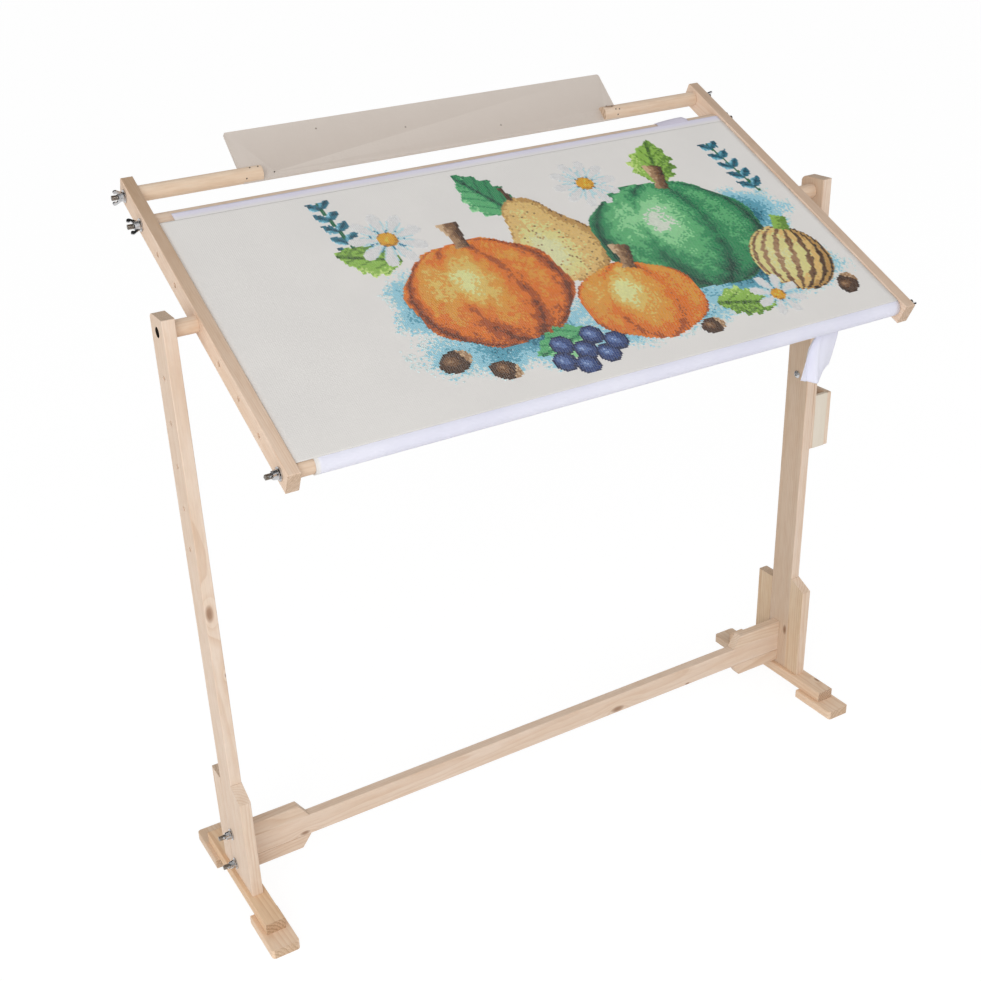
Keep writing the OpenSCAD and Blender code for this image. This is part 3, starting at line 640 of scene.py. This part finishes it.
def aida_place(s, t):
    """Over the top of the wound roll, and then straight to the tape."""
    x = -HALF_CLOTH + 2 * HALF_CLOTH * s
    along = PANEL_L * t - LAP_OVER
    if along < 0:
        angle = along / PANEL_R
        return x, LOWER_V + PANEL_R * math.sin(angle), PANEL_R * math.cos(angle)
    return x, LOWER_V + along, cloth_height(x, LOWER_V + along)


cloth_panel = cloth("aida_panel", (100, 190), aida_place, CLOTH_T, "work_frame", aida)
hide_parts("embroidery_cloth")

# Cross-stitch design: a harvest still life by formula, with a seeded dither between its threads
CHART_COLUMNS, CHART_ROWS = 264, 150
CHART_X, CHART_V = -236, -212
CELL_X, CELL_Y = np.meshgrid(np.arange(CHART_COLUMNS) + 0.5, np.arange(CHART_ROWS) + 0.5)
dither = np.random.default_rng(20)
chart = np.zeros((CHART_ROWS, CHART_COLUMNS, 3))
stitched = np.zeros((CHART_ROWS, CHART_COLUMNS), bool)
THREAD_LIGHT, THREAD_LIGHTEST = 1.25, 0.9
LEAF_STEP = 9


def threads(*tones):
    """Thread colours, paler than asked, as crossing threads shade one another."""
    return np.clip(THREAD_LIGHT * np.array([colour(*tone)[:3] for tone in tones]), 0, THREAD_LIGHTEST)


ORANGE = threads((118, 52, 18), (176, 84, 22), (222, 122, 28), (240, 158, 58), (248, 192, 104),
                 (253, 226, 160))
GREEN = threads((18, 74, 58), (30, 112, 78), (52, 148, 96), (96, 182, 122), (150, 212, 158), (214, 238, 208))
LIME = threads((58, 96, 34), (104, 148, 52), (150, 192, 84), (196, 224, 132))
CREAM = threads((134, 96, 50), (192, 152, 88), (222, 190, 122), (236, 214, 150), (242, 228, 176))
BROWN = threads((48, 30, 20), (84, 56, 36), (126, 90, 60), (170, 134, 98), (208, 180, 146))
TEAL = threads((16, 78, 98), (42, 120, 142), (96, 168, 188), (156, 206, 220), (204, 230, 238))
PETAL = threads((70, 142, 172), (132, 184, 206), (190, 216, 230), (222, 234, 240), (244, 248, 250))
YELLOW = threads((178, 116, 20), (228, 168, 40), (246, 208, 84))
PLUM = threads((26, 40, 84), (50, 74, 130), (96, 122, 174), (158, 180, 214))


def lay(mask, tones, level, spread=0.7):
    """Works the cells of a mask in the tone that level (0 dark to 1 light) names, softly dithered."""
    steps = np.clip(level, 0, 1) * (len(tones) - 1) + (dither.random(mask.shape) - 0.5) * spread
    pick = np.clip(np.round(steps), 0, len(tones) - 1).astype(int)
    chart[mask] = tones[pick[mask]]
    stitched[mask] = True


def turned(x, y, angle):
    """Cell places along and across a direction from a centre."""
    a = math.radians(angle)
    dx, dy = CELL_X - x, CELL_Y - y
    return dx * math.cos(a) + dy * math.sin(a), dy * math.cos(a) - dx * math.sin(a)


def wave(seed, size):
    """A smooth random field over the chart, about from -1 to 1, of seven sines."""
    rng = np.random.default_rng(seed)
    field = np.zeros_like(CELL_X)
    for _ in range(7):
        a, phase = rng.random() * 2 * math.pi, rng.random() * 2 * math.pi
        k = (0.6 + rng.random()) * 2 * math.pi / size
        field += np.sin(k * (CELL_X * math.cos(a) + CELL_Y * math.sin(a)) + phase)
    return field / 3.2


def shine(u, v, wide, high):
    """A soft highlight about u and v = 0."""
    return np.exp(-((u / wide) ** 2 + (v / high) ** 2))


def round_side(u, v, thinnest):
    """How far each cell lies towards the side of a ball of radius 1, from -1 to 1 at its height."""
    return np.clip(u / np.sqrt(np.maximum(1 - np.clip(v, -0.99, 0.99) ** 2, thinnest)), -1, 1)


def shadow(x, y, wide, high, seed):
    """Blue-green shadow whose edge thins out into single stitches."""
    far = np.hypot((CELL_X - x) / wide, (CELL_Y - y) / high) + 0.13 * wave(seed, 26)
    density = np.clip((1.08 - far) * 3.2, 0, 1)
    lay(dither.random(far.shape) < density, TEAL, 0.25 + 0.75 * far, 1.1)


def pumpkin(x, y, wide, high, tones, ribs, lean, seed):
    u, v = turned(x, y, lean)
    far = np.hypot(u / wide, v / high)
    bumpy = far + 0.025 * np.cos(np.arctan2(v / high, u / wide) * 2 * ribs)
    lobes = np.abs(np.cos(np.arcsin(round_side(u / wide, v / high, 0.02)) * ribs))
    level = 0.2 + 0.42 * lobes ** 0.7 - 0.3 * far ** 3 + 0.07 * wave(seed, 12) + 0.12 * v / high
    level += 0.5 * shine(u / wide + 0.28, v / high - 0.28, 0.3, 0.42)
    lay(bumpy < 1, tones, level, 0.85)
    stem_u, stem_v = turned(x, y, lean - 12)
    off = np.abs(stem_u + 0.01 * (stem_v - high) ** 2)
    stem = (off < 3.2 + 0.2 * np.abs(stem_v - high)) & (stem_v > 0.86 * high) & (stem_v < high + 14)
    lay(stem, BROWN, 0.55 - stem_u * 0.09 + 0.1 * wave(seed + 1, 5))


def leaf(x, y, long, wide, angle, tones):
    u, v = turned(x, y, angle)
    t = np.clip(u / long, 0, 1)
    half = wide * np.sin(math.pi * t ** 0.8) * (1 + 0.13 * np.sin(t * 34))
    mask = (u > 0) & (u < long) & (np.abs(v - 0.12 * wide * np.sin(5 * t)) < half)
    vein = np.exp(-(v / 1.1) ** 2) + 0.5 * (np.abs(np.mod(u - 1.3 * np.abs(v), 9) - 4.5) < 0.8)
    lay(mask, tones, 0.62 - 0.5 * vein + 0.25 * v / wide, 0.6)


def daisy(x, y, size, petals, start):
    u, v = CELL_X - x, CELL_Y - y
    angle, far = np.arctan2(v, u), np.hypot(u, v)
    phase = np.mod(angle * petals / (2 * math.pi) + start, 1) - 0.5
    edge = size * (1 - (2 * np.abs(phase)) ** 2.6 * 0.72)
    level = 0.45 + 0.55 * np.cos(phase * math.pi) ** 2 * np.clip(far / size + 0.25, 0, 1)
    lay(far < edge, PETAL, level - 0.8 * (np.abs(phase) > 0.42), 0.5)
    lay(far < 0.27 * size, YELLOW, 0.8 - far / (0.5 * size) + 0.35 * (v / size), 1.0)


def pear(x, y, size, lean):
    u, v = turned(x, y, lean)
    belly = np.hypot(u, v) - size
    neck = np.hypot(u, v - 1.2 * size) - 0.48 * size
    blend = np.clip(0.5 + (neck - belly) / (1.3 * size), 0, 1)
    far = neck * (1 - blend) + belly * blend - 0.65 * size * blend * (1 - blend)
    mask = far < 0
    level = 0.62 - 0.42 * np.exp(far / (0.16 * size)) - 0.15 * u / size + 0.06 * wave(61, 9)
    level += 0.5 * shine(u / size + 0.28, v / size - 0.05, 0.35, 0.6)
    lay(mask, CREAM, level, 0.8)
    lay(mask & (dither.random(mask.shape) < 0.05), CREAM, 0.15)
    stem = (np.abs(u - 0.05 * (v - 1.6 * size)) < 1.3) & (v > 1.62 * size) & (v < 1.62 * size + 11)
    lay(stem, BROWN, 0.3)


def gourd(x, y, wide, high, lean):
    u, v = turned(x, y, lean)
    far = np.hypot(u / wide, v / high)
    side = round_side(u / wide, v / high, 0.03)
    stripe = np.mod(np.arcsin(side) * 2.6 + 0.1 * wave(71, 8), 1) < 0.4
    lay(far < 1, CREAM, 0.85 - 0.5 * far ** 2 - 0.25 * side)
    lay((far < 1) & stripe, BROWN, 0.75 - 0.5 * far ** 2 - 0.3 * side, 0.9)
    neck = (np.abs(u) < 0.2 * wide) & (v > 0.9 * high) & (v < high + 9)
    lay(neck, LIME, 0.5 - u / wide)


def chestnut(x, y, size, angle):
    u, v = turned(x, y, angle)
    far = np.hypot(u / size, v / (0.72 * size))
    glint = shine(u / size + 0.3, v / size - 0.25, math.sqrt(0.1), math.sqrt(0.1))
    lay(far < 1, BROWN, 0.45 - 0.35 * far + 0.4 * glint, 0.5)
    lay((far < 1) & (u > 0.55 * size), BROWN, 0.85, 0.6)


def berry(x, y, size):
    u, v = CELL_X - x, CELL_Y - y
    far = np.hypot(u, v) / size
    glint = shine(u / size + 0.35, v / size - 0.35, math.sqrt(0.12), math.sqrt(0.12))
    lay(far < 1, PLUM, 0.75 - 0.75 * far + 0.45 * glint, 0.45)


def sprig(x, y, angle, count):
    """A thin stalk with small paired leaves."""
    u, v = turned(x, y, angle)
    lay((u > 0) & (u < LEAF_STEP * count) & (np.abs(v) < 0.8), GREEN, 0.2)
    a = math.radians(angle)
    for i in range(count):
        along = 4 + LEAF_STEP * i
        place = (x + along * math.cos(a), y + along * math.sin(a))
        for way in (-1, 1):
            leaf(*place, 11 - 0.6 * i, 2.8, angle + way * 48, TEAL[:4])


def work_chart():
    for spot in ((62, 30, 62, 22, 1), (138, 24, 52, 18, 2), (206, 34, 56, 24, 3), (232, 78, 26, 22, 4),
                 (26, 62, 18, 26, 5)):
        shadow(*spot)
    sprig(12, 102, 96, 5)
    sprig(250, 92, 97, 5)
    leaf(104, 112, 42, 13, 118, GREEN[:5])
    leaf(196, 112, 40, 13, 70, LIME)
    leaf(30, 96, 34, 11, 160, LIME)
    pear(114, 82, 25, 10)
    pumpkin(184, 74, 50, 42, GREEN, 4, -6, 11)
    pumpkin(62, 64, 44, 37, ORANGE, 4, 8, 21)
    gourd(232, 40, 23, 25, -24)
    pumpkin(134, 36, 34, 27, ORANGE[1:], 3, -4, 31)
    leaf(96, 26, 36, 11, 196, GREEN[1:])
    leaf(170, 22, 34, 10, -14, LIME)
    daisy(30, 112, 20, 9, 0.2)
    daisy(154, 124, 19, 10, 0.5)
    daisy(206, 18, 15, 8, 0.1)
    for spot in ((22, 26, 9, 20), (42, 14, 8, -30), (250, 14, 8, 50), (158, 9, 7, 10)):
        chestnut(*spot)
    for spot in ((76, 20), (86, 14), (72, 10), (94, 22), (82, 5), (96, 9), (104, 15)):
        berry(*spot, 6.2)


work_chart()

# Stitches: each is two crossing threads that dip into the cloth's holes at their ends
STITCH_STRIPES = 5
THREAD_W, THREAD_H = 1.15, 0.5
LEG_REACH = 0.47 * AIDA_CELL
UNDER_LIFT, OVER_LIFT = 0.18, 0.5
STITCH_SINK = 0.12
STITCH_SPREAD, TINT_SPREAD = 0.05, 0.1
STRAND_SCALE = (60, 620, 1)
BACK_R = 0.45
BACK_ASIDE = 0.3 * AIDA_CELL


def thread_bar(bm, radius, length):
    """A three-sided bar along z that stands for a thread."""
    return bmesh.ops.create_cone(bm, cap_ends=True, segments=3, radius1=radius, radius2=radius,
                                 depth=length)["verts"]


def stitch_leg(bm, angle, lift):
    """One thread across a cell: a three-sided bar, flat below, bent down at both ends."""
    made = thread_bar(bm, 1, 2 * LEG_REACH * math.sqrt(2))
    up = made[0].co.xy.normalized()
    across = Vector((-up.y, up.x))
    for vertex in made:
        along = vertex.co.z
        side, height = vertex.co.xy.dot(across), vertex.co.xy.dot(up)
        vertex.co = (along, side * THREAD_W / math.sqrt(3), (height + 0.5) * THREAD_H / 1.5)
    faces = list({face for vertex in made for face in vertex.link_faces})
    edges = list({edge for face in faces for edge in face.edges})
    cut = bmesh.ops.bisect_plane(bm, geom=made + edges + faces, plane_co=(0, 0, 0), plane_no=(1, 0, 0))
    middle = [part for part in cut["geom_cut"] if isinstance(part, bmesh.types.BMVert)]
    for vertex in middle:
        vertex.co.z += lift
    bmesh.ops.rotate(bm, verts=made + middle, cent=(0, 0, 0),
                     matrix=Matrix.Rotation(math.radians(angle), 3, "Z"))


def stitch_back(bm):
    """The upright bar that the thread leaves on the cloth's back between two holes."""
    made = thread_bar(bm, BACK_R, 2 * LEG_REACH)
    bmesh.ops.rotate(bm, verts=made, cent=(0, 0, 0), matrix=Matrix.Rotation(math.pi / 2, 3, "X"))
    bmesh.ops.translate(bm, verts=made, vec=(BACK_ASIDE, 0, -CLOTH_T))


def stitch_shape():
    """Points and triangles of one cross stitch about its cell's middle, in mm."""
    bm = bmesh.new()
    stitch_leg(bm, 45, UNDER_LIFT)
    stitch_leg(bm, -45, OVER_LIFT)
    stitch_back(bm)
    bmesh.ops.triangulate(bm, faces=bm.faces[:])
    bmesh.ops.recalc_face_normals(bm, faces=bm.faces[:])
    bm.verts.index_update()
    points = np.array([vertex.co for vertex in bm.verts])
    faces = np.array([[vertex.index for vertex in face.verts] for face in bm.faces])
    bm.free()
    return points, faces


STITCH_POINTS, STITCH_FACES = stitch_shape()


def stitch_thread():
    """Stranded cotton in each stitch's own colour, with slanting strands."""
    material, tree, shader = new_material("stranded_cotton")
    dyed = tree.add("ShaderNodeAttribute", attribute_name="thread").outputs["Color"]
    place = tree.mapping(tree.add("ShaderNodeTexCoord").outputs["UV"], Rotation=(0, 0, math.pi / 4),
                         Scale=STRAND_SCALE)
    strands = tree.noise(place, 1, 2, 0.6)
    shader.inputs["Specular IOR Level"].default_value = 0.3
    shader.inputs["Sheen Weight"].default_value = 0.1
    body = tree.veil(dyed, tree.maths("MULTIPLY_ADD", strands, 0.3, 0.85))
    surface(tree, shader, body, tree.maths("MULTIPLY_ADD", strands, -0.2, 0.62), strands, 0.3, 0.1)
    return material


def sew(name, cells, material):
    """Repeats the stitch over (row, column) cells as one piece on the cloth, each in its own colour."""
    rows, columns = cells[:, 0], cells[:, 1]
    x = CHART_X + (columns + 0.5) * AIDA_CELL
    v = CHART_V + (rows + 0.5) * AIDA_CELL
    top = np.array([cloth_height(a, b) for a, b in zip(x, v)]) + CLOTH_T / 2 - STITCH_SINK
    middles = np.stack([x, v, top], axis=1)
    count = len(STITCH_POINTS)
    stretch = 1 + STITCH_SPREAD * (dither.random((len(cells), 1, 3)) - 0.5)
    points = (middles[:, None, :] + STITCH_POINTS[None] * stretch).reshape(-1, 3) * MM
    faces = (np.arange(len(cells))[:, None, None] * count + STITCH_FACES[None]).reshape(-1, 3)
    mesh = bpy.data.meshes.new(name)
    mesh.from_pydata(points, [], faces)
    mesh.transform(ON_FRAME)
    tint = chart[rows, columns] * (1 + TINT_SPREAD * (dither.random((len(cells), 1)) - 0.5))
    dye = np.ones((len(cells), count, 4))
    dye[:, :, :3] = tint[:, None, :]
    mesh.attributes.new("thread", "FLOAT_COLOR", "POINT").data.foreach_set("color", dye.ravel())
    low, high = points[:, :2].min(0), points[:, :2].max(0)
    corner = np.zeros(len(mesh.loops), int)
    mesh.loops.foreach_get("vertex_index", corner)
    own_map = mesh.uv_layers.new(name="UVMap")
    own_map.data.foreach_set("uv", ((points[:, :2] - low) / (high - low))[corner].ravel())
    mesh.update()
    return riding(name, mesh, "work_frame", material)


STITCH_CELLS = np.argwhere(stitched)
STITCH_CELLS = STITCH_CELLS[np.argsort(STITCH_CELLS[:, 1], kind="stable")]
thread = stitch_thread()
stitch_pieces = [sew(f"cross_stitches_{i + 1}", cells, thread)
                 for i, cells in enumerate(np.array_split(STITCH_CELLS, STITCH_STRIPES))]


# The tape along the upper roller, and the cloth wound on the lower one, which starts past the roll's top
WOUND_START = math.radians(-22)


def tape_place(s, t):
    """Along the roller with s, and up the frame with t."""
    x = TAPE_LEFT + (HALF_CLOTH - TAPE_LEFT) * s
    v = TAPE_LOW + (TAPE_HIGH - TAPE_LOW) * t
    return x, v, TAPE_W + ripple(x, v, 14, 0.12)


def wound_place(s, t):
    """From the frame's side of the roll over its top and front, and in towards the wood."""
    x = WOUND_LEFT + (WOUND_RIGHT - WOUND_LEFT) * s
    angle = WOUND_START + 2 * math.pi * WOUND_TURNS * t
    radius = WOUND_OUTER - (WOUND_T + WOUND_GAP) * WOUND_TURNS * t
    radius += ripple(x, 40 * angle, 45, 0.14) * (1 - t)
    return x, LOWER_V - radius * math.sin(angle), radius * math.cos(angle)


tape = cloth("roller_tape", (200, 8), tape_place, TAPE_T, "work_frame", tape_cotton)
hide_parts("cloth_tape")
wound = cloth("wound_cloth", (100, 160), wound_place, WOUND_T, "lower_roller", roll_cotton)
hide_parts("lower_roller_cloth")

# The hanging end behind the lower roller, in the stand's mm
TAIL_TOP, TAIL_Y, TAIL_T = 686.0, -203.2, 0.5
TAIL_WAVE, TAIL_FOLD, TAIL_CREASE = 3, 5, 4
# Its left and right sides at heights up it
TAIL_SIDES = np.array([(604, 268.6, 309), (612, 268, 311), (624, 267.6, 315), (635, 268.6, 318),
                       (649, 273, 321), (660, 280, 323), (671, 290.4, 325), (686, 304, 327)])
# Its hem's height from side to side
TAIL_HEM = np.array([(0, 610.4), (0.16, 607.6), (0.32, 605.6), (0.5, 604), (0.6, 605), (0.7, 611),
                     (0.8, 616.5), (1, 621.5)])


def tail_place(s, t):
    """Down with s and across with t: it slants to the left, and its left side folds forward."""
    z = TAIL_TOP + (np.interp(t, *TAIL_HEM.T) - TAIL_TOP) * s
    left, right = (np.interp(z, TAIL_SIDES[:, 0], TAIL_SIDES[:, side]) for side in (1, 2))
    x = left + (right - left) * t
    y = TAIL_Y + TAIL_WAVE * s * math.sin(math.radians(420) * t + 0.6)
    y -= TAIL_FOLD * math.sin(math.pi * s ** 1.3) * max(0.0, 1 - 4 * t) ** 2
    ridge = math.exp(-((t - 0.02 - 0.3 * s) / 0.07) ** 2)
    crease = ridge - 0.6 * math.exp(-((t - 0.2 - 0.3 * s) / 0.08) ** 2)
    y += TAIL_CREASE * crease * min(1.0, 2.2 * s) + ripple(x, 60 * s, 16, 0.8) * s
    return x, y, z


tail = cloth("hanging_end", (60, 44), tail_place, TAIL_T, "work_frame", white, ON_STAND)
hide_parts("cloth_tail")

# The lapped end of the tape, in the tape's cotton painted darker as shade
FLAP_LEFT, FLAP_RIGHT = 306, 357
FLAP_START, FLAP_SWEEP = -17, 62
FLAP_GAP, FLAP_SWELL, FLAP_T = 1.2, 2.5, 0.4


def flap_place(s, t):
    """It starts on the tape and swells up over the top of the upper roller."""
    angle = math.radians(FLAP_START + FLAP_SWEEP * t)
    swell = math.sin(math.pi * min(0.5, 0.62 * s)) * min(1, (1 - s) * 9)
    radius = ROLLER_R + FLAP_GAP + FLAP_SWELL * swell * math.sin(math.pi * 0.62 * t) ** 1.3 - 0.5 * t
    x = FLAP_LEFT + (FLAP_RIGHT - FLAP_LEFT) * s + ripple(s * 40, t * 20, 9, 0.8)
    return x, UPPER_V + radius * math.sin(angle), radius * math.cos(angle)


flap = cloth("tape_lap", (40, 18), flap_place, FLAP_T, "work_frame", shaded_lap_cotton)

# Floor, lights and background, in metres, degrees and watts
WORLD_LIGHT = 0.5
WHITE = (1, 1, 1, 1)
PAPER = (0.93, 0.93, 0.93, 1)
FELT = (0.02, 0.02, 0.02, 1)
FLOOR_WIDE = 60
FLOOR_GLOW = 0.86
FLOOR_WHITE = 1.07
FLAGS, FLAG_TURN, FLAG_FAR = 8, 8, 1.6
FLAG_WIDE, FLAG_HIGH = 0.9, 2.4
TOP_FLAG_STEP = 1.15
LIGHT_AIM = Vector((0, 0, 0.5))
# Place, size and power of each lamp
LIGHTS = {
    "key": ((-2.2, -2.8, 2.0), 2.4, 54),
    "fill": ((2.6, -2.2, 1.6), 2.4, 14),
    "side": ((-3.2, -0.5, 0.9), 1.6, 12),
}


def make_light(name, place, size, watts):
    data = bpy.data.lights.new(name, "AREA")
    data.shape = "SQUARE"
    data.size = size
    data.energy = watts
    light = new_object(name, data)
    light.location = place
    light.rotation_euler = (LIGHT_AIM - Vector(place)).to_track_quat("-Z", "Y").to_euler()


def seen_directly(tree):
    """1 for rays from the camera, mirrors and glass, and 0 for light that falls on the object."""
    path = tree.add("ShaderNodeLightPath").outputs
    seen = tree.maths("MAXIMUM", path["Is Camera Ray"], path["Is Glossy Ray"])
    return tree.maths("MAXIMUM", seen, path["Is Transmission Ray"])


def make_world():
    world = bpy.data.worlds.new("studio")
    bpy.context.scene.world = world
    world.use_nodes = True
    tree = Tree(world.node_tree)
    background = world.node_tree.nodes["Background"]
    strength = tree.maths("MULTIPLY_ADD", seen_directly(tree), 1 - WORLD_LIGHT, WORLD_LIGHT)
    tree.join(strength, background.inputs["Strength"])
    background.inputs["Color"].default_value = WHITE


def studio_card(name, wide, high, at, material):
    """A flat rectangle of the studio, which isn't part of the object."""
    bm = bmesh.new()
    bmesh.ops.create_grid(bm, x_segments=1, y_segments=1, size=0.5)
    bmesh.ops.scale(bm, vec=(wide, high, 1), verts=bm.verts[:])
    bmesh.ops.transform(bm, matrix=at, verts=bm.verts[:])
    mesh = bpy.data.meshes.new(name)
    bm.to_mesh(mesh)
    bm.free()
    card = new_object(name, mesh)
    dress(card, material)
    return card


def flat_paint(name, paint, rough):
    material, tree, shader = new_material(name)
    shader.inputs["Base Color"].default_value = paint
    shader.inputs["Roughness"].default_value = rough
    return material, tree, shader


def make_floor():
    """White paper that glows where it is seen directly."""
    material, tree, shader = flat_paint("floor_paper", PAPER, 0.9)
    glow = tree.add("ShaderNodeEmission", {"Color": WHITE, "Strength": FLOOR_WHITE})
    share = tree.maths("MULTIPLY", seen_directly(tree), FLOOR_GLOW)
    both = tree.add("ShaderNodeMixShader", {0: share, 1: shader.outputs[0], 2: glow.outputs[0]})
    tree.join(both.outputs[0], material.node_tree.nodes["Material Output"].inputs["Surface"])
    studio_card("floor", FLOOR_WIDE, FLOOR_WIDE, ON_STAND, material)


def make_flags():
    """Dark cards round and over the object, which show only in polished metal as its dark streaks."""
    felt = flat_paint("flag_felt", FELT, 1)[0]
    upright = Matrix.Translation((0, -FLAG_FAR, FLAG_HIGH / 2)) @ Matrix.Rotation(math.pi / 2, 4, "X")
    places = {}
    for i in range(FLAGS):
        places[f"flag_{i + 1}"] = Matrix.Rotation(math.radians(FLAG_TURN + 360 * i / FLAGS), 4, "Z") @ upright
    for i in (-1, 0, 1):
        places[f"top_flag_{i + 2}"] = Matrix.Translation((TOP_FLAG_STEP * i, 0, FLAG_HIGH))
    for name, at in places.items():
        flag = studio_card(name, FLAG_WIDE, FLAG_HIGH, at, felt)
        flag.visible_camera = False
        flag.visible_diffuse = False
        flag.visible_shadow = False


make_world()
make_floor()
make_flags()
for name, light in LIGHTS.items():
    make_light(name, *light)
bpy.context.scene.view_settings.view_transform = "Standard"
